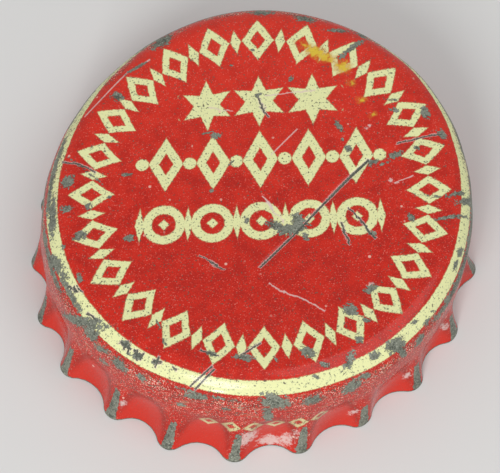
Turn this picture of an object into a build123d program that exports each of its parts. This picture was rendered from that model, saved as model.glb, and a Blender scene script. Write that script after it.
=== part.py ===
from build123d import *
from math import cos, pi, sin
import os

# A crimped crown cap for a bottle, millimetres, +Z up.
# The origin is on the cap's axis, in the plane of the fluted rim that it stands on.
# Two physical pieces: a shell pressed from one disc of tinplate, and a disc of
# agglomerated cork that the shoulder of the shell holds against the panel.

# Pressed shell
sheet = 0.28
body_radius = 13.6
shoulder_radius = 1.9
wall_height = 1.4

# Flutes, pressed in below the plain wall
flute_count = 21
flute_height = 3.4
flute_levels = 5
crest_flare = 0.80
crest_power = 1.9
crest_nose = 0.95
valley_tuck = 0.50
valley_power = 2.2

# Cork liner
liner_thickness = 2.0
liner_clearance = 0.10

# Groove that the lip of the bottle leaves in the cork
lip_radius = 10.9
imprint_width = 2.6
imprint_floor_width = 1.4
imprint_depth = 0.35

half_pitch = pi / flute_count
wall_top = flute_height + wall_height
cap_height = wall_top + shoulder_radius
inner_height = cap_height - sheet
liner_bottom = inner_height - liner_thickness
inner_radius = body_radius - sheet
shoulder_centre = body_radius - shoulder_radius


def polar(radius, angle):
    """The point of a horizontal section at this radius, this many radians round from +X."""
    return Vector(radius * cos(angle), radius * sin(angle))


def mirrored(point):
    """The same point on the other side of the flute's crest."""
    return Vector(point.X, -point.Y)


def crest_radius(drop):
    """Radius over a crest; drop runs from 0 at the top of the flutes to 1 at the rim."""
    return body_radius + crest_flare * drop**crest_power


def valley_radius(drop):
    """Radius down in a valley, which sinks in quickly and then runs nearly upright."""
    return body_radius - valley_tuck * (1 - (1 - drop) ** valley_power)


def half_flute(drop, inset):
    """Top of the crest, where it meets the valley, and the valley's middle, at one level.

    The crest is a round nose and the valley a scoop that meets it in one tangent.
    Both faces of the sheet are curves about the same two centres, inset apart.
    """
    crest = crest_radius(drop)
    valley = valley_radius(drop)
    nose_centre = Vector(crest - crest_nose, 0)
    near = valley**2 + nose_centre.X**2 - 2 * valley * nose_centre.X * cos(half_pitch)
    scoop = (near - crest_nose**2) / (2 * (nose_centre.X * cos(half_pitch) + crest_nose - valley))
    towards_scoop = (polar(valley + scoop, half_pitch) - nose_centre).normalized()
    meeting = nose_centre + towards_scoop * (crest_nose - inset)
    return Vector(crest - inset, 0), meeting, polar(valley - inset, half_pitch)


def flute_line(drop, inset):
    """Draws one face of the sheet at one level, across one flute, and returns its end."""
    if drop == 0:
        end = polar(body_radius - inset, half_pitch)
        ThreePointArc(mirrored(end), (body_radius - inset, 0), end)
        return end
    top, meeting, end = half_flute(drop, inset)
    start_way = polar(1, pi / 2 - half_pitch)
    end_way = Vector(-start_way.X, start_way.Y)
    Spline(mirrored(end), mirrored(meeting), top, meeting, end, tangents=(start_way, end_way))
    return end


# One flute of the skirt, from the middle of a valley to the middle of the next
with BuildPart() as flute:
    for level in range(flute_levels):
        drop = level / (flute_levels - 1)
        with BuildSketch(Plane.XY.offset(flute_height * (1 - drop))):
            with BuildLine():
                outer_end = flute_line(drop, 0)
                inner_end = flute_line(drop, sheet)
                Line(outer_end, inner_end)
                Line(mirrored(inner_end), mirrored(outer_end))
            make_face()
    loft()

with BuildPart() as crown_shell:
    # fluted skirt, with one crest towards -X
    with PolarLocations(0, flute_count, start_angle=180):
        add(flute.part)
    # plain wall, rounded shoulder and flat panel, one section turned about the axis
    with BuildSketch(Plane.XZ):
        with BuildLine():
            CenterArc((shoulder_centre, wall_top), shoulder_radius, 0, 90)
            Polyline(
                (shoulder_centre, cap_height),
                (0, cap_height),
                (0, inner_height),
                (shoulder_centre, inner_height),
            )
            CenterArc((shoulder_centre, wall_top), shoulder_radius - sheet, 0, 90)
            Polyline(
                (inner_radius, wall_top),
                (inner_radius, flute_height),
                (body_radius, flute_height),
                (body_radius, wall_top),
            )
        make_face()
    revolve(axis=Axis.Z)
crown_shell.part.label = "crown_shell"

with BuildPart() as cork_liner:
    # disc whose upper edge is squeezed into the inside of the shoulder
    with BuildSketch(Plane.XY.offset(inner_height)):
        Circle(inner_radius - liner_clearance)
    extrude(amount=-liner_thickness)
    chamfer(cork_liner.edges().sort_by(Axis.Z)[-1], shoulder_radius - sheet)
    # imprint of the bottle's lip, with sloping sides
    with BuildSketch(Plane.XZ):
        with BuildLine():
            Polyline(
                (lip_radius - imprint_width / 2, liner_bottom),
                (lip_radius - imprint_floor_width / 2, liner_bottom + imprint_depth),
                (lip_radius + imprint_floor_width / 2, liner_bottom + imprint_depth),
                (lip_radius + imprint_width / 2, liner_bottom),
                close=True,
            )
        make_face()
    revolve(axis=Axis.Z, mode=Mode.SUBTRACT)
cork_liner.part.label = "cork_liner"

os.makedirs("parts", exist_ok=True)
export_step(crown_shell.part, "parts/crown_shell.step")
export_step(cork_liner.part, "parts/cork_liner.step")
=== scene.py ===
from math import cos, pi, radians, sin

import bpy
import numpy as np
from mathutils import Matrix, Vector


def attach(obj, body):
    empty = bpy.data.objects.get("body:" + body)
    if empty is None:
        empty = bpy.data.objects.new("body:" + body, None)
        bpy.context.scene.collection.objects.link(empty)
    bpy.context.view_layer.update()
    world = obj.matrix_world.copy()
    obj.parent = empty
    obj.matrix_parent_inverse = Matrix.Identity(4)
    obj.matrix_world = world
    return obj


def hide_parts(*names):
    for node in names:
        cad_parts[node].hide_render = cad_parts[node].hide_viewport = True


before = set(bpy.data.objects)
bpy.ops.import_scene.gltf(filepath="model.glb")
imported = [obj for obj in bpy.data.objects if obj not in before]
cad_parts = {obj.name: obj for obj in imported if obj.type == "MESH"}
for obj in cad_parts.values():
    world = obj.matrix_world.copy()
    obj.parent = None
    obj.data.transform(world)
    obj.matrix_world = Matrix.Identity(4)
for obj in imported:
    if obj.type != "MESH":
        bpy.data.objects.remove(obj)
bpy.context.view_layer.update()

# An old crown cap seen from above and in front. Lengths are millimetres up to the meshes,
# which are written in metres.
MM = 0.001

# Form of the pressed shell, as in the part
sheet = 0.28
body_radius = 13.6
shoulder_radius = 1.9
wall_height = 1.4
flute_count = 21
flute_height = 3.4
crest_flare = 0.80
crest_power = 1.9
crest_nose = 0.95
valley_tuck = 0.50
valley_power = 2.2
# on this cap the rim turns outwards again in the valleys
valley_lip = 0.32
valley_lip_power = 3.0
liner_thickness = 2.0
liner_clearance = 0.10
lip_radius = 10.9
imprint_width = 2.6
imprint_depth = 0.35
# the raw edge of the sheet is rounded, and the cork lies a little under the panel
edge_round = 0.05
liner_gap = 0.15

half_pitch = pi / flute_count
wall_top = flute_height + wall_height
cap_height = wall_top + shoulder_radius
inner_height = cap_height - sheet
shoulder_centre = body_radius - shoulder_radius

# How the old cap is bent: oval, three-cornered, and its rim pushed aside of its panel
oval = 0.19
oval_way = radians(64)
three_corner = 0.12
three_corner_way = radians(82)
# each bulge: the way it points, how wide it is, and how far it goes out
bulges = [(radians(40), radians(24), 0.20), (radians(97), radians(24), 0.18)]
lean_x = -0.67
lean_y = -0.78
crimp_drift = radians(1.5)
# small unevenness, with the size of its humps: over the skirt, and outside this radius
skirt_uneven = 0.05
skirt_hump = 5.0
side_uneven = 0.03
side_hump = 2.2
side_radius = 10
wave_count = 7
# a crest that is pushed aside bends most near the rim
push_power = 1.6
# the panel's dish and dents fade out over this height below the inside of the panel
dent_fade = 0.5
panel_dish = 0.10
panel_dish_size = 7.0
# each crease: start, end, half width and depth
creases = [
    ((-0.1, -5.1), (4.4, -0.4), 0.17, 0.08),
    ((4.4, -0.4), (6.8, 2.2), 0.20, 0.09),
    ((6.8, 2.2), (11.4, 3.9), 0.30, 0.04),
    ((5.4, -1.2), (7.1, -3.3), 0.14, 0.05),
    ((0.0, -0.2), (1.4, -2.1), 0.20, 0.03),
]
# each dent: place, size and depth
dents = [
    ((1.7, -2.4), 0.8, 0.10),
    ((-6.4, 4.8), 1.6, 0.07),
    ((5.9, -6.2), 1.3, 0.06),
    ((-3.8, -7.4), 1.0, 0.05),
]
# Each flute's crest at the rim: how far it is pushed out, and how far round, from -X on.
# The first eleven follow the tips in the photo, and the others, at the back, are made up.
crest_out = [
    -0.37, -0.21, -0.03, -0.03, 0.25, 0.24, 0.08, -0.32, -0.17, 0.04, 0.21,
    0.10, -0.05, 0.08, -0.10, 0.00, 0.06, -0.12, 0.05, -0.10, -0.20,
]
crest_round = [
    0.20, 0.16, -0.03, 0.19, 0.12, 0.17, 0.07, 0.02, -0.09, -0.27, 0.18,
    0.10, -0.10, 0.05, 0.12, -0.08, 0.00, 0.15, -0.05, 0.10, 0.12,
]
columns_per_flute = 24
columns = flute_count * columns_per_flute
# rings on each stretch of the section, for the finely divided outer face and the plain inner one
outer_rings = {"panel": 112, "bend": 24, "wall": 8, "skirt": 26}
inner_rings = {"panel": 6, "bend": 6, "wall": 3, "skirt": 12}
smallest_ring = 0.25

# Camera, worked out from the photo
photo_width = 500
photo_scale = 15.6
view_elevation = radians(63.7)
view_azimuth = radians(-1.0)
view_distance = 200.0
view_aim = (-0.35, 0.56)
sensor_width = 36.0


# Forms shared by the skins

def crest_radius(drop):
    """Radius over a crest; drop runs from 0 at the top of the flutes to 1 at the rim."""
    return body_radius + crest_flare * drop**crest_power


def valley_radius(drop):
    """Radius down in a valley, whose lower end turns outwards again on this cap."""
    tucked = valley_tuck * (1 - (1 - drop) ** valley_power)
    return body_radius - tucked + valley_lip * drop**valley_lip_power


def round_from_crest(around):
    """How far round it is to the nearest crest."""
    return np.abs((around + half_pitch) % (2 * half_pitch) - half_pitch)


def flute_radius(around, drop, inset):
    """Radius of one face of the sheet, this far round from -X and down from the skirt's top."""
    if drop <= 0:
        return np.full(len(around), body_radius - inset)
    crest = crest_radius(drop)
    valley = valley_radius(drop)
    nose_centre = crest - crest_nose
    near = valley**2 + nose_centre**2 - 2 * valley * nose_centre * cos(half_pitch)
    scoop = (near - crest_nose**2) / (2 * (nose_centre * cos(half_pitch) + crest_nose - valley))
    scoop_centre = valley + scoop
    from_crest = round_from_crest(around)
    apart = crest_nose + scoop
    meeting = nose_centre + (scoop_centre * cos(half_pitch) - nose_centre) * crest_nose / apart
    across = scoop_centre * sin(half_pitch) * crest_nose / apart
    meeting_angle = np.arctan2(across, meeting)
    nose = crest_nose - inset
    on_nose = nose**2 - (nose_centre * np.sin(from_crest)) ** 2
    nose_face = nose_centre * np.cos(from_crest) + np.sqrt(np.maximum(on_nose, 0))
    from_valley = half_pitch - from_crest
    on_scoop = (scoop + inset) ** 2 - (scoop_centre * np.sin(from_valley)) ** 2
    # high on the skirt the valley still bulges outwards, and its radius is negative
    hollow = np.sign(scoop) * np.sqrt(np.maximum(on_scoop, 0))
    scoop_face = scoop_centre * np.cos(from_valley) - hollow
    return np.where(from_crest < meeting_angle, nose_face, scoop_face)


around = np.arange(columns) * 2 * pi / columns
even = np.ones(columns)


def waves(x, y, z, size, seed):
    """Smooth made-up unevenness, about -1 to 1, with humps of about this size."""
    draws = np.random.default_rng(seed)
    total = 0
    for _ in range(wave_count):
        way = draws.normal(size=3)
        way = way / np.linalg.norm(way) * draws.uniform(0.7, 1.5) * pi / size
        total = total + np.sin(way[0] * x + way[1] * y + way[2] * z + draws.uniform(0, 2 * pi))
    return total / (wave_count / 2)


def dented(x, y):
    """How far the panel is pressed down at this place: its dish, its creases and its dents."""
    depth = panel_dish * np.exp(-(x**2 + y**2) / panel_dish_size**2)
    for start, end, half_width, deep in creases:
        run = np.subtract(end, start)
        reach = np.hypot(*run)
        along = ((x - start[0]) * run[0] + (y - start[1]) * run[1]) / reach
        beside = ((y - start[1]) * run[0] - (x - start[0]) * run[1]) / reach
        ends = np.clip(np.minimum(along, reach - along) / (2 * half_width) + 0.5, 0, 1)
        depth = depth + deep * ends * np.exp(-(beside / half_width) ** 2)
    for (dent_x, dent_y), size, deep in dents:
        depth = depth + deep * np.exp(-((x - dent_x) ** 2 + (y - dent_y) ** 2) / size**2)
    return depth


def bent(x, y, z):
    """Where a point of the perfect cap lies on the bent and dented one."""
    angle = np.arctan2(y, x)
    radius = np.hypot(x, y)
    up = z / cap_height
    out = oval * np.cos(2 * (angle - oval_way))
    out = out + three_corner * np.cos(3 * (angle - three_corner_way))
    for way, spread, bulge in bulges:
        off_bulge = (angle - way + pi) % (2 * pi) - pi
        out = out + bulge * np.exp(-((off_bulge / spread) ** 2))
    swell = 1 + out / body_radius
    skirt = np.clip(1 - z / flute_height, 0, 1)
    flutes_round = (angle - pi) / (2 * half_pitch)
    crests = np.arange(flute_count)
    pushed_out = np.interp(flutes_round, crests, crest_out, period=flute_count)
    pushed_round = np.interp(flutes_round, crests, crest_round, period=flute_count)
    uneven = skirt_uneven * skirt * waves(x, y, z, skirt_hump, 3)
    off_panel = np.clip(radius - side_radius, 0, 1)
    uneven = uneven + side_uneven * off_panel * waves(x, y, z, side_hump, 4)
    swell = swell + (uneven + pushed_out * skirt**push_power) / body_radius
    slid = pushed_round * skirt**push_power / body_radius
    x, y = x - slid * y, y + slid * x
    level = np.clip((z - inner_height + dent_fade) / dent_fade, 0, 1)
    sunk = dented(x, y) * level
    return x * swell + lean_x * (0.5 - up), y * swell + lean_y * (0.5 - up), z - sunk


def lathe(name, rings, top, bottom, marks):
    """A closed skin through rings of points, with a point at each end on the axis.

    rings holds x, y and z of each ring; marks holds values that ride on the points.
    """
    points = [np.array([top])]
    points += [np.stack(np.broadcast_arrays(*ring), -1) for ring in rings]
    points.append(np.array([bottom]))
    points = np.concatenate(points)
    here = np.arange(columns)
    after = (here + 1) % columns
    faces = [(0, 1 + a, 1 + b) for a, b in zip(here, after)]
    for ring in range(len(rings) - 1):
        upper = 1 + ring * columns
        lower = upper + columns
        faces += list(zip(upper + here, lower + here, lower + after, upper + after))
    last = 1 + (len(rings) - 1) * columns
    end = len(points) - 1
    faces += [(end, last + b, last + a) for a, b in zip(here, after)]
    faces = [tuple(map(int, face)) for face in faces]
    places = np.stack(bent(points[:, 0], points[:, 1], points[:, 2]), -1) * MM
    mesh = bpy.data.meshes.new(name)
    mesh.from_pydata(places.tolist(), [], faces)
    for mark, values in marks.items():
        kind, key = ("FLOAT_VECTOR", "vector") if values.ndim == 2 else ("FLOAT", "value")
        layer = mesh.attributes.new(mark, kind, "POINT")
        layer.data.foreach_set(key, np.ascontiguousarray(values, dtype=np.float32).ravel())
    mesh.shade_smooth()
    piece = bpy.data.objects.new(name, mesh)
    bpy.context.collection.objects.link(piece)
    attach(piece, "root")
    return piece


# Pressed shell

def shell_rings(inset, counts):
    """Rings of one face of the sheet from the middle of the panel to the rim.

    Each ring is its radius, its height and how far from the middle of the flat blank it was.
    """
    rings = []
    for radius in np.linspace(smallest_ring, shoulder_centre, counts["panel"]):
        rings.append((radius * even, cap_height - inset, radius))
    bend = shoulder_radius - inset
    for turn in np.linspace(0, pi / 2, counts["bend"])[1:]:
        blank = shoulder_centre + shoulder_radius * turn
        radius = (shoulder_centre + bend * sin(turn)) * even
        rings.append((radius, wall_top + bend * cos(turn), blank))
    blank = shoulder_centre + shoulder_radius * pi / 2
    for fall in np.linspace(0, wall_height, counts["wall"])[1:]:
        rings.append(((body_radius - inset) * even, wall_top - fall, blank + fall))
    blank += wall_height
    for drop in np.linspace(0, 1, counts["skirt"])[1:]:
        radius = flute_radius(around, drop, inset)
        rings.append((radius, flute_height * (1 - drop), blank + flute_height * drop))
    return rings


def section():
    """Rings of the outer face, down to the rim, and of the inner face, up from it."""
    outer = shell_rings(0, outer_rings)
    inner = shell_rings(sheet, inner_rings)[::-1]
    outer_rim, _, down = outer[-1]
    inner_rim = inner[0][0]
    outer[-1] = (outer_rim, edge_round, down)
    outer.append((outer_rim - edge_round, 0.0, down))
    inner[0] = (inner_rim + edge_round, 0.0, down)
    inner.insert(1, (inner_rim, edge_round, down))
    return outer, inner


def build_shell():
    """The pressed shell, printed outside and lacquered inside, with its wear, painted shade in the
    valleys' folds and painted glints.
    """
    outer, inner = section()
    rings = []
    blank = []
    height = []
    for radius, z, down in outer + inner:
        drop = np.clip(1 - z / flute_height, 0, 1)
        angle = pi + around + crimp_drift * drop * np.cos(2 * around)
        rings.append((radius * np.cos(angle), radius * np.sin(angle), z * even))
        blank.append(np.stack([-down * np.cos(around), -down * np.sin(around), 0 * even], -1))
        height.append(z * even)
    ends = np.zeros((1, 3))
    blank = np.concatenate([ends, *blank, ends])
    height = np.concatenate([[cap_height], *height, [inner_height]])
    from_crest = np.tile(round_from_crest(around), len(rings))
    from_crest = np.concatenate([[0.0], from_crest, [0.0]]) * body_radius
    marks = {
        "blank": blank,
        "bare": bare_metal(blank, height, from_crest),
        "clean": np.clip(in_scoop(height, from_crest) / scoop_fade, 0, 1),
        # painted shade in the valleys' folds
        "fold_shade": painted_fold_shade(height, from_crest),
        "scuffed": scuffing(blank, height, from_crest),
        # pale rubs, and painted glints on the skirt
        "rubs_and_glints": marked(blank, pale_marks),
        "stained": marked(blank, stain_marks),
    }
    shell = lathe("crown_shell_skin", rings, (0, 0, cap_height), (0, 0, inner_height), marks)
    shell.data.materials.append(litho_print())
    shell.data.materials.append(lacquered_tinplate())
    outer_faces = columns * len(outer)
    indices = np.zeros(len(shell.data.polygons), dtype=np.int32)
    indices[outer_faces:] = 1
    shell.data.polygons.foreach_set("material_index", indices)
    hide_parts("crown_shell")
    return shell


# Wear, and painted shade in the valleys' folds, that follow the form. Places are on the flat blank, from
# the middle of the panel.

# how far past its ellipse the middle of a full mark lies inside it
mark_depth = 1.15
# bare stripe on a crest: height, raggedness, half width at its top, and widening to the rim
stripe_height = 2.1
stripe_ragged = 0.6
stripe_half_width = 0.17
stripe_widening = 0.20
stripe_fade = 0.35
# bare edge of the rim
edge_bare = 0.12
edge_fade = 0.07
# clean arch in a valley: share of the flute's width, height, and fade into the fold round it
scoop_share = 0.80
scoop_height = 3.0
scoop_fade = 0.14
# width of the painted shade in the fold round each valley
fold_width = 0.13
# the shoulder's turn is worn over a band at this place on the blank
turn_worn = 14.2
turn_half_width = 0.5

# Each row: x, y, half length, half width, turn in degrees, strength.
# Most were picked in the photo, and their places were worked back to the flat blank.
bare_marks = [
    (-13.1, -1.2, 1.50, 0.35, 92, 0.8),
    (-13.0, -4.2, 0.94, 0.36, -43, 1.0),
    (-12.1, -5.2, 0.48, 0.17, -36, 0.7),
    (-11.1, -5.6, 0.33, 0.16, -69, 0.9),
    (-11.8, -8.0, 2.32, 0.32, -17, 1.0),
    (-10.6, -9.0, 0.57, 0.48, -68, 1.0),
    (-10.2, -10.1, 0.83, 0.31, -11, 0.7),
    (-10.8, -11.1, 0.55, 0.34, -10, 0.6),
    (-9.1, -11.2, 0.58, 0.51, -50, 0.9),
    (-8.3, -9.9, 0.38, 0.16, -20, 0.9),
    (-7.7, -10.7, 0.51, 0.18, -23, 0.9),
    (-6.5, -11.2, 0.26, 0.14, -6, 0.9),
    (-5.5, -11.7, 0.25, 0.09, -13, 0.8),
    (-7.7, -12.1, 0.45, 0.36, -38, 0.6),
    (-4.2, -13.6, 0.91, 0.25, -3, 0.9),
    (-5.5, -14.5, 0.46, 0.26, 5, 0.7),
    (-2.4, -14.8, 0.41, 0.25, -10, 0.7),
    (0.8, -14.1, 0.88, 0.51, -25, 1.0),
    (0.5, -15.4, 1.11, 0.33, -75, 0.9),
    (-6.0, -10.0, 0.33, 0.19, -62, 0.6),
    (-6.3, -8.9, 0.60, 0.08, -63, 0.6),
    (-3.2, -10.9, 0.56, 0.20, -20, 0.7),
    (-1.3, -11.2, 0.60, 0.23, -12, 0.8),
    (-12.1, -0.9, 0.32, 0.24, -8, 1.0),
    (-10.8, -0.8, 0.26, 0.26, -33, 0.8),
    (-11.2, -2.8, 0.43, 0.26, 22, 1.0),
    (-12.2, -3.4, 0.18, 0.21, -88, 0.7),
    (-8.1, -3.0, 0.31, 0.20, 19, 1.0),
    (-12.1, 1.0, 0.42, 0.38, 40, 1.0),
    (-11.1, 1.8, 1.96, 0.09, -42, 0.8),
    (-9.5, -0.2, 0.17, 0.15, -2, 0.8),
    (-8.4, 1.4, 0.38, 0.14, -5, 0.9),
    (-5.0, 8.2, 0.14, 0.10, -34, 0.8),
    (-1.7, 8.9, 0.12, 0.10, -3, 0.8),
    (-0.3, 9.9, 0.19, 0.11, -4, 0.8),
    (-2.8, 4.1, 0.31, 0.17, -6, 1.0),
    (-3.4, 4.3, 0.51, 0.08, 9, 0.7),
    (-0.1, 6.7, 0.25, 0.13, 20, 0.9),
    (-1.8, 2.2, 0.33, 0.08, 39, 0.8),
    (-3.1, 0.2, 0.12, 0.14, -1, 0.8),
    (-0.9, -1.9, 0.34, 0.23, -81, 0.6),
    (-9.1, 7.1, 0.47, 0.35, -19, 0.9),
    (-7.8, 9.2, 0.92, 0.12, 28, 0.9),
    (-6.1, 11.2, 0.71, 0.49, 42, 1.0),
    (0.3, 12.8, 0.69, 0.35, -4, 0.9),
    (3.0, 12.2, 0.63, 0.35, -10, 0.9),
    (5.1, 11.3, 0.86, 0.21, 2, 0.8),
    (6.6, 11.3, 0.45, 0.35, -24, 0.8),
    (5.9, 10.0, 1.13, 0.15, 40, 1.0),
    (2.0, 7.8, 0.21, 0.13, 62, 0.9),
    (4.9, 4.5, 0.41, 0.17, -57, 1.0),
    (5.5, 3.0, 0.24, 0.20, -62, 1.0),
    (5.1, 3.6, 0.16, 0.10, -63, 0.8),
    (8.3, 6.3, 0.71, 0.10, -3, 0.8),
    (8.4, 5.6, 0.32, 0.18, -10, 0.7),
    (10.4, 5.4, 0.48, 0.23, -65, 1.0),
    (11.5, 3.9, 0.39, 0.28, -49, 0.9),
    (8.5, 2.5, 0.52, 0.22, 20, 0.9),
    (9.9, 3.0, 0.21, 0.15, -1, 0.9),
    (7.1, 2.0, 0.46, 0.28, 21, 0.7),
    (12.5, -0.2, 0.77, 0.14, 21, 1.0),
    (10.9, -0.5, 1.02, 0.09, -6, 0.8),
    (13.9, -0.2, 1.48, 0.25, 25, 1.0),
    (12.0, -1.9, 1.23, 0.12, 12, 1.0),
    (9.4, -1.9, 0.30, 0.20, -65, 1.0),
    (7.8, 1.9, 0.57, 0.11, 22, 0.6),
    (0.9, -2.3, 0.57, 0.27, -21, 1.0),
    (1.9, -2.5, 0.89, 0.33, 13, 1.0),
    (2.3, -2.0, 0.51, 0.34, -65, 1.0),
    (2.7, -3.1, 0.30, 0.20, -66, 0.8),
    (6.9, -3.0, 0.26, 0.14, -47, 0.9),
    (5.3, -8.2, 0.43, 0.33, -23, 1.0),
    (6.6, -6.8, 0.56, 0.27, 31, 0.8),
    (6.3, -8.9, 0.25, 0.12, -8, 1.0),
    (5.8, -10.2, 0.32, 0.22, -73, 0.9),
    (2.7, -11.0, 0.50, 0.30, -33, 0.9),
    (0.7, -11.4, 0.27, 0.09, -60, 0.8),
    (3.7, -11.8, 0.39, 0.15, -14, 1.0),
    (3.2, -12.5, 0.25, 0.11, -19, 0.9),
    (5.2, -11.5, 0.54, 0.25, 68, 1.0),
    (6.8, -11.1, 0.33, 0.25, 23, 1.0),
    (8.2, -10.4, 0.66, 0.42, 12, 1.0),
    (8.8, -10.7, 0.91, 0.25, -32, 1.0),
    (9.4, -8.9, 0.29, 0.12, 21, 0.9),
    (10.4, -8.8, 0.41, 0.31, 51, 0.6),
    (10.8, -8.1, 0.32, 0.11, 9, 0.7),
    (12.2, -5.0, 0.45, 0.19, 57, 0.8),
    (12.6, -4.1, 0.38, 0.21, 41, 0.9),
    (5.9, -13.2, 0.64, 0.60, 4, 0.9),
    (3.3, -14.1, 0.68, 0.46, 5, 0.9),
    (6.5, -12.4, 0.61, 0.25, 9, 0.8),
    (10.4, -10.0, 0.52, 0.54, 97, 0.8),
]
worn_marks = [
    (-9.7, -11.0, 1.60, 0.80, -49, 0.8),
    (-7.2, -12.5, 1.43, 0.70, -34, 0.9),
    (-4.0, -13.9, 1.73, 0.59, -7, 0.9),
    (-0.8, -14.6, 1.64, 0.63, -1, 0.8),
    (3.1, -14.2, 1.76, 0.78, 10, 0.9),
    (6.1, -12.8, 1.41, 0.64, 32, 0.9),
    (9.2, -10.8, 1.26, 0.68, 54, 0.8),
    (10.8, -8.9, 1.11, 0.57, 72, 0.8),
    (-11.5, -6.8, 1.32, 0.41, -62, 0.7),
    (13.1, 3.4, 4.02, 0.52, -75, 1.0),
    (12.5, 5.6, 2.04, 0.40, -63, 1.0),
    (11.6, 7.2, 1.59, 0.40, -54, 0.8),
    (-12.3, 5.1, 1.97, 0.55, 62, 1.0),
    (-13.0, 2.2, 1.80, 0.45, 80, 1.0),
    (-13.1, -0.4, 1.80, 0.45, 91, 1.0),
    (2.7, 12.9, 3.20, 0.60, -12, 1.0),
    (-1.7, 13.1, 3.00, 0.60, 7, 1.0),
    (-5.9, 11.6, 2.60, 0.60, 27, 0.9),
    (-9.1, 9.4, 2.30, 0.60, 45, 0.9),
    (6.9, 11.3, 2.40, 0.50, -31, 0.9),
    (9.9, 8.9, 2.00, 0.45, -48, 0.8),
]
# pale patches: rubs, and on the skirt partly painted glints
pale_marks = [
    (0.5, -0.8, 0.56, 0.13, -58, 1.0),
    (2.5, -2.1, 0.42, 0.18, -66, 0.8),
    (-10.8, -14.6, 0.28, 0.26, -32, 1.0),
    (-0.5, -17.9, 0.79, 0.64, -7, 1.0),
    (1.6, -18.9, 1.25, 0.46, -0, 1.0),
    (2.8, -18.5, 0.68, 0.48, 46, 1.0),
    (8.2, -16.2, 0.57, 0.27, 46, 0.8),
    (3.4, -17.7, 0.54, 0.43, 38, 0.7),
    (12.6, -12.9, 0.42, 0.31, 53, 0.8),
    (15.8, -8.5, 0.39, 0.76, 112, 0.7),
    (6.6, -6.5, 0.32, 0.19, 41, 0.8),
    (6.7, 4.4, 0.46, 0.17, 41, 0.7),
    (8.2, 0.7, 0.21, 0.18, -83, 0.8),
    (8.5, 0.5, 0.57, 0.08, 6, 0.7),
]
stain_marks = [
    (3.9, 9.5, 1.30, 0.42, -30, 1.1),
    (5.2, 8.6, 0.55, 0.42, -20, 1.1),
    (2.9, 10.2, 0.50, 0.35, -20, 0.7),
    (5.8, 7.5, 0.45, 0.35, 0, 0.7),
    (6.4, 6.3, 0.45, 0.30, 10, 0.7),
    (7.1, 5.3, 0.50, 0.22, 30, 0.7),
]


def marked(blank, rows):
    """How deep inside the nearest of these marks a place is: 1 in its middle, under 0 outside."""
    x, y = blank[:, 0], blank[:, 1]
    best = np.full(len(x), -1.0)
    for place_x, place_y, half_length, half_width, turn, strength in rows:
        c = cos(radians(turn))
        s = sin(radians(turn))
        along = ((x - place_x) * c + (y - place_y) * s) / half_length
        beside = ((y - place_y) * c - (x - place_x) * s) / half_width
        best = np.maximum(best, mark_depth * strength - np.hypot(along, beside))
    return best


# Each arc: middle and half of its turn in degrees, radius, half width, strength
worn_arcs = [
    (1, 38, 14.10, 0.36, 0.95),
    (28, 17, 13.70, 0.26, 0.85),
    (58, 18, 13.62, 0.30, 0.80),
    (100, 30, 13.50, 0.28, 0.72),
    (143, 14, 13.90, 0.32, 0.80),
    (172, 14, 13.45, 0.34, 0.62),
    (174, 12, 14.40, 0.28, 0.75),
    (-164, 12, 14.10, 0.40, 0.55),
    (-152, 7, 13.45, 0.30, 0.55),
    (-105, 9, 13.95, 0.16, 0.60),
]


def along_arcs(blank):
    """How deep inside the nearest worn arc of the shoulder a place is."""
    radius = np.hypot(blank[:, 0], blank[:, 1])
    angle = np.degrees(np.arctan2(blank[:, 1], blank[:, 0]))
    best = np.full(len(radius), -1.0)
    for middle, half_turn, arc_radius, half_width, strength in worn_arcs:
        off = (angle - middle + 180) % 360 - 180
        away = np.hypot((radius - arc_radius) / half_width, (off / half_turn) ** 4)
        best = np.maximum(best, mark_depth * strength - away)
    return best


def bare_metal(blank, height, from_crest):
    """How surely the print is worn through: chips, the crests' noses and the rim's edge."""
    bare = np.maximum(marked(blank, bare_marks), along_arcs(blank))
    ragged = waves(blank[:, 0], blank[:, 1], height, 4.0, 8)
    top = stripe_height + stripe_ragged * ragged
    half_width = stripe_half_width + stripe_widening * np.clip(1 - height / top, 0, 1)
    stripe = np.minimum(3 * (1 - from_crest / half_width), (top - height) / stripe_fade)
    bare = np.maximum(bare, np.where(height < flute_height, stripe, -1))
    edge = np.where(height < edge_bare, (edge_bare - height) / edge_fade, -1)
    return np.maximum(bare, edge)


def in_scoop(height, from_crest):
    """How deep inside the arch of the nearest valley a place is; under 0 outside it."""
    across = (1 - from_crest / (half_pitch * body_radius)) / scoop_share
    return 1 - np.hypot(across, height / scoop_height)


def painted_fold_shade(height, from_crest):
    """Painted shade in the fold round each valley."""
    fold = np.exp(-((in_scoop(height, from_crest) / fold_width) ** 2))
    return fold * np.clip(height / 1.2 - 0.2, 0, 1)


def scuffing(blank, height, from_crest):
    """How thickly the print is peppered with fine wear, whose pale grains are partly painted glints:
    most on the shoulder's flank.
    """
    flank = np.clip((cap_height - 0.7 - height) / 0.8, 0, 1)
    hollow = np.clip(in_scoop(height, from_crest) / 0.2 + 0.5, 0, 1)
    low = np.clip((flute_height - height) / 1.5, 0, 1)
    down = np.hypot(blank[:, 0], blank[:, 1])
    on_turn = np.exp(-(((down - turn_worn) / turn_half_width) ** 2))
    base = 0.10 + flank * (1 - hollow) * (0.50 - 0.25 * low) + 0.35 * on_turn
    worn = 0.95 * np.clip(marked(blank, worn_marks) * 2, 0, 1)
    return np.clip(np.maximum(base, worn), 0, 1)


# Shader writing

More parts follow.
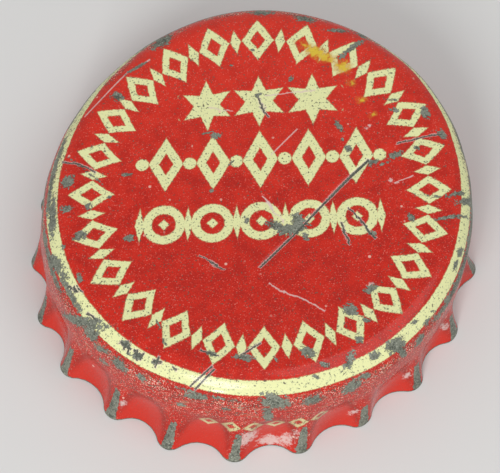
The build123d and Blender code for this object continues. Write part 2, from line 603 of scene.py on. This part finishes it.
class Field:
    """A value that varies over a surface, written with ordinary arithmetic."""

    def __init__(self, tree, socket):
        self.tree = tree
        self.socket = socket

    def node(self, operation, *others, clamp=False):
        made = self.tree.nodes.new("ShaderNodeMath")
        made.operation = operation
        made.use_clamp = clamp
        for slot, value in zip(made.inputs, (self, *others)):
            connect(self.tree, value, slot)
        return Field(self.tree, made.outputs[0])

    def __add__(self, other):
        return self.node("ADD", other)

    def __sub__(self, other):
        return self.node("SUBTRACT", other)

    def __mul__(self, other):
        return self.node("MULTIPLY", other)

    def __truediv__(self, other):
        return self.node("DIVIDE", other)

    def __rsub__(self, other):
        return (self * -1) + other

    __radd__ = __add__

    def abs(self):
        return self.node("ABSOLUTE")

    def cos(self):
        return self.node("COSINE")

    def sin(self):
        return self.node("SINE")

    def least(self, other):
        return self.node("MINIMUM", other)

    def most(self, other):
        return self.node("MAXIMUM", other)

    def folded(self, size):
        """Distance to the nearest whole multiple of size."""
        return (self / size + 0.5).node("FRACT").node("SUBTRACT", 0.5).abs() * size

    def clamped(self, scale=1.0):
        """This times scale, kept between 0 and 1."""
        return self.node("MULTIPLY", scale, clamp=True)

    def inside(self, limit, blur):
        """1 where this is under the limit, 0 past it, with an edge of about this width."""
        return ((limit - self) / blur + 0.5).clamped()


def connect(tree, value, slot):
    """Puts a Field or a plain value into a slot."""
    if isinstance(value, Field):
        tree.links.new(value.socket, slot)
    else:
        slot.default_value = value


def attribute(tree, name, output="Fac"):
    """One of the marks that ride on the points of the skin."""
    made = tree.nodes.new("ShaderNodeAttribute")
    made.attribute_name = name
    return Field(tree, made.outputs[output])


def place(tree):
    """Place on the object in millimetres, as a vector."""
    coordinates = tree.nodes.new("ShaderNodeTexCoord")
    scaled = tree.nodes.new("ShaderNodeVectorMath")
    scaled.operation = "SCALE"
    scaled.inputs["Scale"].default_value = 1 / MM
    tree.links.new(coordinates.outputs["Object"], scaled.inputs[0])
    return Field(tree, scaled.outputs[0])


def flattened(tree, where):
    """The same place with its heights drawn out, which makes grain run round the shoulder."""
    made = tree.nodes.new("ShaderNodeVectorMath")
    made.operation = "MULTIPLY"
    made.inputs[1].default_value = (0.8, 0.8, 2.4)
    tree.links.new(where.socket, made.inputs[0])
    return Field(tree, made.outputs[0])


def noise(tree, where, size, detail=2.0, roughness=0.5):
    """Grain with features of about this many millimetres, 0 to 1 and mostly near 0.5."""
    made = tree.nodes.new("ShaderNodeTexNoise")
    tree.links.new(where.socket, made.inputs["Vector"])
    made.inputs["Scale"].default_value = 1 / size
    made.inputs["Detail"].default_value = detail
    made.inputs["Roughness"].default_value = roughness
    return Field(tree, made.outputs["Fac"])


def cells(tree, where, size, output="Distance"):
    """Scattered cells of about this many millimetres: distance from each one's middle, or its colour."""
    made = tree.nodes.new("ShaderNodeTexVoronoi")
    tree.links.new(where.socket, made.inputs["Vector"])
    made.inputs["Scale"].default_value = 1 / size
    return Field(tree, made.outputs[output])


def mixed(tree, share, first, second):
    """A colour between two colours; each is a Field or three linear values."""
    made = tree.nodes.new("ShaderNodeMix")
    made.data_type = "RGBA"
    connect(tree, share, made.inputs["Factor"])
    for name, colour in (("A", first), ("B", second)):
        slot = [s for s in made.inputs if s.name == name and s.type == "RGBA"][0]
        connect(tree, colour if isinstance(colour, Field) else (*colour, 1.0), slot)
    result = [s for s in made.outputs if s.type == "RGBA"][0]
    return Field(tree, result)


def split(tree, vector):
    """The three parts of a vector or a colour."""
    made = tree.nodes.new("ShaderNodeSeparateXYZ")
    tree.links.new(vector.socket, made.inputs[0])
    return [Field(tree, out) for out in made.outputs]


def new_material(name):
    material = bpy.data.materials.new(name)
    material.use_nodes = True
    tree = material.node_tree
    shader = tree.nodes["Principled BSDF"]
    return material, tree, shader


def bumped(tree, shader, height, distance, slot="Normal"):
    """Raises the surface by height times this many millimetres."""
    made = tree.nodes.new("ShaderNodeBump")
    made.inputs["Distance"].default_value = distance * MM
    tree.links.new(height.socket, made.inputs["Height"])
    tree.links.new(made.outputs[0], shader.inputs[slot])


# The print: a plain ring and generic ornament, on the flat blank

ring_inner = 12.70
ring_outer = 13.62
ring_shift = 0.80
ring_shift_power = 4.5
border_radius = 10.6
border_units = 24
# rows across the panel: their heights, how they slope, and how far they reach either way
star_row = 6.3
gem_row = 2.3
hoop_row = -1.95
row_slope = 0.031
row_step = 3.0
star_step = 3.3
star_reach = 5.2
row_reach = 7.5
gap_reach = 8.2
# string of small lozenges above the flutes: its middle, reach and step as angles
string_radius = 16.95
string_way = radians(-88)
string_reach = radians(17.7)
string_step = radians(5.9)
string_scale = 13.7
print_edge = 0.07


def length(x, y):
    """Distance from the middle."""
    return (x * x + y * y).node("SQRT")


def star(x, y, tip, notch, points):
    """1 inside a star with this many points, with this radius to its tips and its notches."""
    fold = x.node("ARCTAN2", y).folded(2 * pi / points)
    radius = length(x, y)
    notch_x = notch * cos(pi / points)
    notch_y = notch * sin(pi / points)
    side = radius * fold.cos() * notch_y + radius * fold.sin() * (tip - notch_x)
    run = (notch_y**2 + (tip - notch_x) ** 2) ** 0.5
    return (side / run).inside(tip * notch_y / run, print_edge)


def lozenge(x, y, half_width, half_height):
    """1 inside an upright lozenge about the middle."""
    run = (half_width**2 + half_height**2) ** 0.5
    side = x.abs() * (half_height / run) + y.abs() * (half_width / run)
    return side.inside(half_width * half_height / run, print_edge)


def disc(x, y, radius):
    """1 inside a disc about the middle."""
    return length(x, y).inside(radius, print_edge)


def ring_and_border(angle, radius):
    """The plain ring, and a border of hollow lozenges with a small solid one between each two."""
    # the blank was pressed a little off its print, so the ring runs lower at the back
    behind = (angle.sin() * 0.5 + 0.5).node("POWER", ring_shift_power) * ring_shift
    middle = (ring_inner + ring_outer) / 2
    ring = (radius - behind - middle).abs().inside((ring_outer - ring_inner) / 2, print_edge)
    out = radius - border_radius
    unit = 2 * pi / border_units
    across = angle.folded(unit) * border_radius
    between = (angle + unit / 2).folded(unit) * border_radius
    hollow = lozenge(across, out, 1.0, 1.45) - lozenge(across, out, 0.46, 0.66)
    return ring.most(hollow).most(lozenge(between, out, 0.34, 0.85))


def panel_rows(x, y):
    """A row of stars, then rows of hollow lozenges and of hoops with small marks between."""
    sloped = y - x * row_slope
    from_middle = x.abs()
    stars = star(x.folded(star_step), sloped - star_row, 1.75, 0.85, 6)
    ink = stars * from_middle.inside(star_reach, print_edge)
    here = x.folded(row_step)
    gap = (x + row_step / 2).folded(row_step)
    kept = from_middle.inside(row_reach, print_edge)
    gap_kept = from_middle.inside(gap_reach, print_edge)
    row = sloped - gem_row
    gems = lozenge(here, row, 1.10, 1.95) - lozenge(here, row, 0.44, 0.78)
    ink = ink.most(gems * kept).most(disc(gap, row, 0.42) * gap_kept)
    row = sloped - hoop_row
    hoops = disc(here, row, 1.32) - disc(here, row, 0.74)
    hoops = hoops.most(lozenge(here, row, 0.36, 0.36))
    return ink.most(hoops * kept).most(lozenge(gap, row, 0.30, 1.15) * gap_kept)


def small_string(angle, radius):
    """A short string of small lozenges above the flutes, in front, in a thinner ink."""
    from_middle = angle - string_way
    across = (from_middle + string_step / 2).folded(string_step) * string_scale
    kept = from_middle.abs().inside(string_reach, 0.01)
    out = radius - string_radius
    return (lozenge(across, out, 0.66, 0.55) - lozenge(across, out, 0.28, 0.23)) * kept * 0.85


def ornament(x, y):
    """Where the cream ink lies, 0 to 1."""
    angle = y.node("ARCTAN2", x)
    radius = length(x, y)
    return ring_and_border(angle, radius).most(panel_rows(x, y)).most(small_string(angle, radius))


# Cracks and scratches, from the photo in the same way: start, end and half width
cracks = [
    ((-0.14, -5.13), (1.10, -3.86), 0.050),
    ((1.10, -3.86), (2.48, -2.41), 0.050),
    ((2.48, -2.41), (4.36, -0.37), 0.055),
    ((4.36, -0.37), (5.63, 1.02), 0.070),
    ((5.63, 1.02), (6.81, 2.20), 0.075),
    ((8.61, 3.27), (11.56, 4.01), 0.040),
    ((4.96, -2.16), (5.47, -3.70), 0.045),
    ((5.42, -1.19), (6.27, -2.19), 0.040),
    ((6.27, -2.19), (7.10, -3.31), 0.060),
    ((-4.51, -12.82), (-3.15, -11.71), 0.045),
    ((-4.22, -13.03), (-3.04, -11.89), 0.045),
    ((-0.05, 6.61), (0.54, 5.14), 0.040),
    ((-12.60, 2.60), (-10.39, 1.59), 0.045),
    ((-11.93, -5.91), (-11.23, -6.40), 0.040),
    ((-10.53, -7.96), (-10.03, -8.29), 0.050),
    ((-3.79, -4.22), (-2.34, -5.25), 0.030),
    ((-3.87, -10.63), (-2.81, -11.05), 0.035),
    ((-1.49, -11.08), (-0.12, -10.20), 0.040),
    ((-8.62, -9.72), (-8.05, -10.32), 0.070),
    ((-8.50, -10.22), (-8.18, -9.74), 0.050),
    ((-8.28, -10.52), (-8.12, -9.98), 0.045),
    ((-7.92, -10.42), (-7.36, -10.72), 0.065),
    ((-7.72, -10.98), (-7.62, -10.36), 0.055),
    ((-7.48, -10.96), (-7.28, -10.60), 0.040),
    ((-6.68, -11.08), (-6.22, -11.28), 0.055),
    ((-6.56, -11.46), (-6.36, -10.92), 0.045),
    ((-5.60, -11.62), (-5.28, -11.78), 0.040),
    ((-11.52, -6.02), (-11.24, -6.40), 0.050),
    ((-11.30, -5.98), (-10.92, -6.46), 0.040),
    ((-10.72, -7.78), (-10.36, -8.06), 0.055),
]
scratches = [
    ((0.05, -0.24), (1.35, -2.11), 0.040),
    ((0.32, -6.31), (2.26, -7.31), 0.035),
    ((2.26, -7.31), (3.82, -8.17), 0.045),
    ((2.26, 4.29), (0.61, 2.52), 0.030),
    ((0.43, 6.71), (3.43, 7.00), 0.035),
    ((-3.25, 6.01), (-1.56, 5.78), 0.025),
    ((-6.96, 9.69), (-8.55, 8.78), 0.045),
    ((-8.55, 8.78), (-11.32, 5.77), 0.040),
    ((8.40, 0.50), (9.60, 1.00), 0.030),
]


def along_way(tree, where, c, s, middle):
    """Distance either way from this middle, measured in the direction (c, s).

    The third part of where is 1, so one product of vectors takes the middle away as well.
    """
    made = tree.nodes.new("ShaderNodeVectorMath")
    made.operation = "DOT_PRODUCT"
    tree.links.new(where, made.inputs[0])
    made.inputs[1].default_value = (c, s, -(middle[0] * c + middle[1] * s))
    return Field(tree, made.outputs["Value"]).abs()


def nearest_line(tree, x, y, lines):
    """Distance in millimetres to the edge of the nearest of these lines."""
    made = tree.nodes.new("ShaderNodeCombineXYZ")
    connect(tree, x, made.inputs["X"])
    connect(tree, y, made.inputs["Y"])
    made.inputs["Z"].default_value = 1.0
    where = made.outputs[0]
    nearest = None
    for start, end, half_width in lines:
        middle = np.add(start, end) / 2
        run = np.subtract(end, start)
        reach = np.hypot(*run)
        c, s = run / reach
        away = along_way(tree, where, c, s, middle) - reach / 2
        away = away.most(along_way(tree, where, -s, c, middle) - half_width)
        nearest = away if nearest is None else nearest.least(away)
    return nearest


# Linear colours of the print, the tin and the lacquer
red = (0.590, 0.017, 0.005)
deep_red = (0.43, 0.011, 0.004)
fresh_red = (0.58, 0.024, 0.010)
faded_red = (0.70, 0.032, 0.014)
cream = (0.770, 0.785, 0.400)
cream_grey = (0.42, 0.46, 0.28)
grey_metal = (0.235, 0.250, 0.200)
# dark tin, also used for the painted shade in the cracks
dark_tin_and_crack_shade = (0.080, 0.090, 0.070)
bright_metal = (0.46, 0.47, 0.40)
# pale worn grain, also used for painted glints
pale_grain_and_glint = (0.84, 0.52, 0.42)
grey_grain = (0.13, 0.10, 0.07)
# whitish rub, also used for painted glints and highlights
chalk_and_highlight = (0.72, 0.56, 0.52)
olive = (0.36, 0.25, 0.15)
# brown of dirt, also used for the painted shade in the valleys' folds
brown_grime_and_shade = (0.17, 0.018, 0.010)
ink_edge = (0.30, 0.055, 0.015)
stain = (0.72, 0.54, 0.045)
stain_orange = (0.56, 0.20, 0.02)
dark_gold = (0.42, 0.33, 0.16)
pale_gold = (0.60, 0.50, 0.30)
rust_brown = (0.16, 0.070, 0.030)


def inked(tree, x, y, ink, clean, coarse, grain, pits):
    """The fresh print: red, faded towards the back and fresh in the scoops, and cream."""
    field = mixed(tree, ((grain + coarse - 0.78) * 3.0).clamped(), deep_red, red)
    field = mixed(tree, (y * 0.05 + 0.12 + (coarse - 0.5) * 0.8).clamped(), field, faded_red)
    field = mixed(tree, clean, field, fresh_red)
    paper = mixed(tree, ((0.44 - pits) * 9.0).clamped() * 0.8, cream, cream_grey)
    ground = mixed(tree, ink, field, paper)
    return mixed(tree, (1.0 - (ink * 2.0 - 1.0).abs()) * 0.65, ground, ink_edge)


def grubby(tree, where, ground, ink, scuffed, coarse):
    """Dark and olive patches where the print is scuffed, and painted shade in the folds."""
    streak = noise(tree, flattened(tree, where), 0.55, 3.0, 0.65)
    dark = ((streak - 0.50) * 5.0).clamped() * ((scuffed - 0.30) * 2.5).clamped()
    ground = mixed(tree, dark * (0.75 - ink * 0.5), ground, brown_grime_and_shade)
    olive_share = ((0.44 - streak) * 9.0).clamped() * ((scuffed - 0.35) * 2.5).clamped()
    ground = mixed(tree, olive_share * (0.85 - ink * 0.4), ground, olive)
    # painted shade: brown darkening in the fold round each valley
    return mixed(tree, attribute(tree, "fold_shade") * (0.3 + coarse) * 0.6, ground, brown_grime_and_shade)


def discoloured(tree, ground, coarse, fine, grain):
    """The yellow stain, and pale patches: rubs that left the print whitish and powdery, and painted
    glints on the skirt.
    """
    stained = attribute(tree, "stained") + (fine - 0.5) * 1.6 + (coarse - 0.5) * 1.2
    ground = mixed(tree, (stained + 0.15).clamped() * 0.9, ground, stain_orange)
    ground = mixed(tree, ((stained - 0.35) * 2.0).clamped() * 0.85, ground, stain)
    # pale rubs, partly painted glints
    chalk_and_glints = ((attribute(tree, "rubs_and_glints") + (fine - 0.5) * 2.4 + (grain - 0.5)) * 1.4).clamped()
    return mixed(tree, chalk_and_glints * 0.8, ground, chalk_and_highlight)


def bare_tin(tree, cut, coarse, fine, grain, pits):
    """The tin where the print is gone, darkest in the cracks, where the darkening is painted shade."""
    mottled = ((fine + pits - 0.72) * 2.4 + (coarse - 0.5) * 2.0).clamped()
    metal = mixed(tree, mottled, dark_tin_and_crack_shade, grey_metal)
    metal = mixed(tree, ((grain - 0.58) * 8.0).clamped() * 0.8, metal, bright_metal)
    # painted shade in the cracks' grooves
    return mixed(tree, cut * 0.7, metal, dark_tin_and_crack_shade)


def litho_print():
    """Red and cream print over tinplate, with all its wear, painted shade in the folds and painted
    glints.
    """
    material, tree, shader = new_material("litho_print")
    where = place(tree)
    x, y, _ = split(tree, attribute(tree, "blank", "Vector"))
    coarse = noise(tree, where, 0.9, 3.0)
    fine = noise(tree, where, 0.22, 2.0, 0.6)
    grain = noise(tree, where, 0.085, 1.0, 0.6)
    pits = noise(tree, where, 0.13, 1.0, 0.7)
    clean = attribute(tree, "clean")
    dull = 1.0 - clean * 0.75
    scuffed = attribute(tree, "scuffed") * (0.35 + coarse * 1.3)
    # the ink's edge wanders a little
    ink = ornament(x + (fine - 0.5) * 0.16, y + (grain - 0.5) * 0.16)
    ground = inked(tree, x, y, ink, clean, coarse, grain, pits)
    ground = grubby(tree, where, ground, ink, scuffed, coarse)
    # peppering with pale grains, partly worn paint and partly painted glints, and with grey ones where
    # the tin shows
    pale = ((grain - 0.665 + scuffed * 0.115) * 16.0).clamped() * dull
    ground = mixed(tree, pale * (0.22 + scuffed * 0.75 - ink * 0.4), ground, pale_grain_and_glint)
    speck = ((0.335 + scuffed * 0.115 - pits) * 16.0).clamped() * dull
    ground = mixed(tree, speck * 0.9, ground, grey_grain)
    # a few small pale dots: painted glints
    glint_dots = ((0.085 - cells(tree, where, 1.3)) * 40.0).clamped() * ((coarse - 0.46) * 9.0).clamped()
    ground = mixed(tree, glint_dots * 0.8, ground, pale_grain_and_glint)
    ground = discoloured(tree, ground, coarse, fine, grain)
    # cracks and scratches wander a little too; their pale edges are partly whitish worn paint and partly
    # painted highlights on the grooves' edges
    wander = (coarse - 0.5) * 0.45 + (fine - 0.5) * 0.14
    crack = nearest_line(tree, x + wander, y + wander, cracks) + (grain - 0.5) * 0.13
    scratch = nearest_line(tree, x + wander, y + wander, scratches) + (grain - 0.5) * 0.08
    fringe = crack.least(scratch + 0.04).inside(0.045, 0.05)
    ground = mixed(tree, fringe * 0.75, ground, chalk_and_highlight)
    cut = crack.inside(0.0, 0.04)
    # print worn right through
    wear = attribute(tree, "bare") + (fine - 0.5) * 2.2 + (coarse - 0.5) * 0.8 + (pits - 0.5) * 1.3
    through = (wear * 7.0).clamped().most(cut)
    colour = mixed(tree, through, ground, bare_tin(tree, cut, coarse, fine, grain, pits))
    rough = 0.34 + scuffed * 0.22 + through * 0.10 - clean * 0.12 + (fine - 0.5) * 0.2
    connect(tree, colour, shader.inputs["Base Color"])
    connect(tree, through * 0.35, shader.inputs["Metallic"])
    connect(tree, rough, shader.inputs["Roughness"])
    connect(tree, 0.12, shader.inputs["Specular IOR Level"])
    connect(tree, 0.12, shader.inputs["Coat Roughness"])
    connect(tree, 0.50 - scuffed * 0.10 - through * 0.2, shader.inputs["Coat Weight"])
    height = (1.0 - through) * 0.8 + grain * 0.35 - speck * 0.3 + fine * 0.3 - cut
    bumped(tree, shader, height, 0.05)
    bumped(tree, shader, grain + pits, 0.002, "Coat Normal")
    return material


def lacquered_tinplate():
    """The inside of the shell: gold lacquer with a little rust."""
    material, tree, shader = new_material("lacquered_tinplate")
    where = place(tree)
    mottle = noise(tree, where, 1.6, 4.0)
    fine = noise(tree, where, 0.2, 3.0)
    rust = ((noise(tree, where, 0.9, 5.0, 0.65) - 0.60) * 9.0).clamped()
    colour = mixed(tree, rust, mixed(tree, mottle, dark_gold, pale_gold), rust_brown)
    connect(tree, colour, shader.inputs["Base Color"])
    connect(tree, (1.0 - rust) * 0.85, shader.inputs["Metallic"])
    connect(tree, 0.30 + rust * 0.45 + (fine - 0.5) * 0.2, shader.inputs["Roughness"])
    bumped(tree, shader, fine * 0.6 + rust, 0.02)
    return material


# Cork liner

liner_edge = body_radius - sheet - liner_clearance
liner_top = inner_height - liner_gap
liner_bottom = inner_height - liner_thickness
# its lower corner is worn down by this much, over this width
corner_worn = 0.12
corner_width = 0.25
imprint_stain = 1.2
granule = 1.15

dark_cork = (0.36, 0.20, 0.095)
pale_cork = (0.56, 0.36, 0.19)
binder = (0.20, 0.10, 0.045)
dry_cork = (0.62, 0.44, 0.26)
pore_brown = (0.085, 0.040, 0.020)
imprint_brown = (0.13, 0.065, 0.030)


def liner_rings():
    """Radius and height of each ring: the top, its edge under the shoulder, and the lower side."""
    bend = shoulder_radius - sheet
    rings = []
    for radius in np.linspace(0.6, liner_edge - bend, 6):
        rings.append((radius, liner_top))
    for turn in np.linspace(0, pi / 2, 8)[1:]:
        rings.append((liner_edge - bend + bend * sin(turn), liner_top - bend + bend * cos(turn)))
    for radius in np.linspace(liner_edge, 0.3, 90):
        beside = abs(radius - lip_radius) / (imprint_width / 2)
        pressed = imprint_depth * (0.5 + 0.5 * cos(pi * min(beside, 1.0)))
        corner = corner_worn * max(0.0, 1 - (liner_edge - radius) / corner_width) ** 2
        rings.append((radius, liner_bottom + pressed + corner))
    return rings


def build_liner():
    """The cork disc, its upper edge under the shoulder and the lip's soft imprint below."""
    rings = liner_rings()
    made = []
    for radius, z in rings:
        x = radius * np.cos(around)
        y = radius * np.sin(around)
        rise = 0.035 * waves(x, y, 0 * x, 1.1, 21) + 0.03 * waves(x, y, 0 * x, 3.0, 22)
        # only the lower side is rough
        rise = rise * (z < liner_bottom + imprint_depth + 0.2)
        made.append((x, y, z + np.abs(rise)))
    radii = np.concatenate([[0.0], *[np.full(columns, radius) for radius, _ in rings], [0.0]])
    from_lip = np.abs(radii - lip_radius) / (imprint_width / 2)
    marks = {"imprint": np.clip(imprint_stain - from_lip, 0, 1)}
    liner = lathe("cork_liner_skin", made, (0, 0, liner_top), (0, 0, liner_bottom), marks)
    liner.data.materials.append(cork())
    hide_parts("cork_liner")
    return liner


def cork():
    """Pressed cork granules in their dark binder, stained in the lip's imprint."""
    material, tree, shader = new_material("agglomerated_cork")
    where = place(tree)
    tone = split(tree, cells(tree, where, granule, "Color"))[0]
    border = cells(tree, where, granule)
    fine = noise(tree, where, 0.18, 4.0, 0.65)
    pore = ((noise(tree, where, 0.6, 3.0) - 0.62) * 12.0).clamped()
    colour = mixed(tree, tone, dark_cork, pale_cork)
    colour = mixed(tree, ((border - 0.62) * 5.0).clamped(), colour, binder)
    colour = mixed(tree, (fine * 0.8 - 0.2).clamped(0.7), colour, dry_cork)
    colour = mixed(tree, pore * 0.8, colour, pore_brown)
    stained = attribute(tree, "imprint") * (0.35 + fine * 0.5)
    colour = mixed(tree, stained, colour, imprint_brown)
    connect(tree, colour, shader.inputs["Base Color"])
    connect(tree, 0.85, shader.inputs["Roughness"])
    bumped(tree, shader, fine * 0.6 - pore * 0.6 + tone * 0.4, 0.06)
    return material


# Surroundings, in metres

floor_half = 0.6
floor_colour = (0.70, 0.70, 0.69)
world_light = 0.5
# each lamp: name, place, size and power; the last is small and low in front, for the glint
lamps = [
    ("key", (-0.089, -0.273, 0.220), 0.14, 0.56),
    ("top", (0.14, -0.06, 0.32), 0.28, 0.28),
    ("glint", (-0.095, -0.335, 0.093), 0.028, 0.14),
]


def build_floor():
    """A pale floor, in the plane of the rim."""
    mesh = bpy.data.meshes.new("floor")
    half = floor_half
    corners = [(-half, -half, 0), (half, -half, 0), (half, half, 0), (-half, half, 0)]
    mesh.from_pydata(corners, [], [(0, 1, 2, 3)])
    floor = bpy.data.objects.new("floor", mesh)
    bpy.context.collection.objects.link(floor)
    material, _, shader = new_material("pale_floor")
    shader.inputs["Base Color"].default_value = (*floor_colour, 1)
    shader.inputs["Roughness"].default_value = 0.7
    mesh.materials.append(material)


def add_lamp(name, where, size, power):
    """A round lamp at this place, turned towards the cap."""
    light = bpy.data.lights.new(name, "AREA")
    light.shape = "DISK"
    light.size = size
    light.energy = power
    lamp = bpy.data.objects.new(name, light)
    lamp.location = where
    lamp.rotation_euler = (-Vector(where)).to_track_quat("-Z", "Y").to_euler()
    bpy.context.collection.objects.link(lamp)


def build_lights():
    """The lamps, and an even white light from all round."""
    for name, where, size, power in lamps:
        add_lamp(name, where, size, power)
    world = bpy.data.worlds.new("studio")
    world.use_nodes = True
    background = world.node_tree.nodes["Background"]
    background.inputs["Color"].default_value = (1, 1, 1, 1)
    background.inputs["Strength"].default_value = world_light
    bpy.context.scene.world = world


def build_camera():
    """A long lens at the photo's angle."""
    back = Vector((
        sin(view_azimuth) * cos(view_elevation),
        -cos(view_azimuth) * cos(view_elevation),
        sin(view_elevation),
    ))
    right = Vector((cos(view_azimuth), sin(view_azimuth), 0))
    up = back.cross(right)
    lens = bpy.data.cameras.new("camera")
    lens.sensor_width = sensor_width
    lens.lens = photo_scale * view_distance * sensor_width / photo_width
    lens.clip_start = 0.01
    camera = bpy.data.objects.new("camera", lens)
    camera.location = (back * view_distance + right * view_aim[0] + up * view_aim[1]) * MM
    camera.rotation_euler = back.to_track_quat("Z", "Y").to_euler()
    bpy.context.collection.objects.link(camera)
    bpy.context.scene.camera = camera


build_shell()
build_liner()
build_floor()
build_lights()
build_camera()
bpy.context.scene.view_settings.view_transform = "Standard"
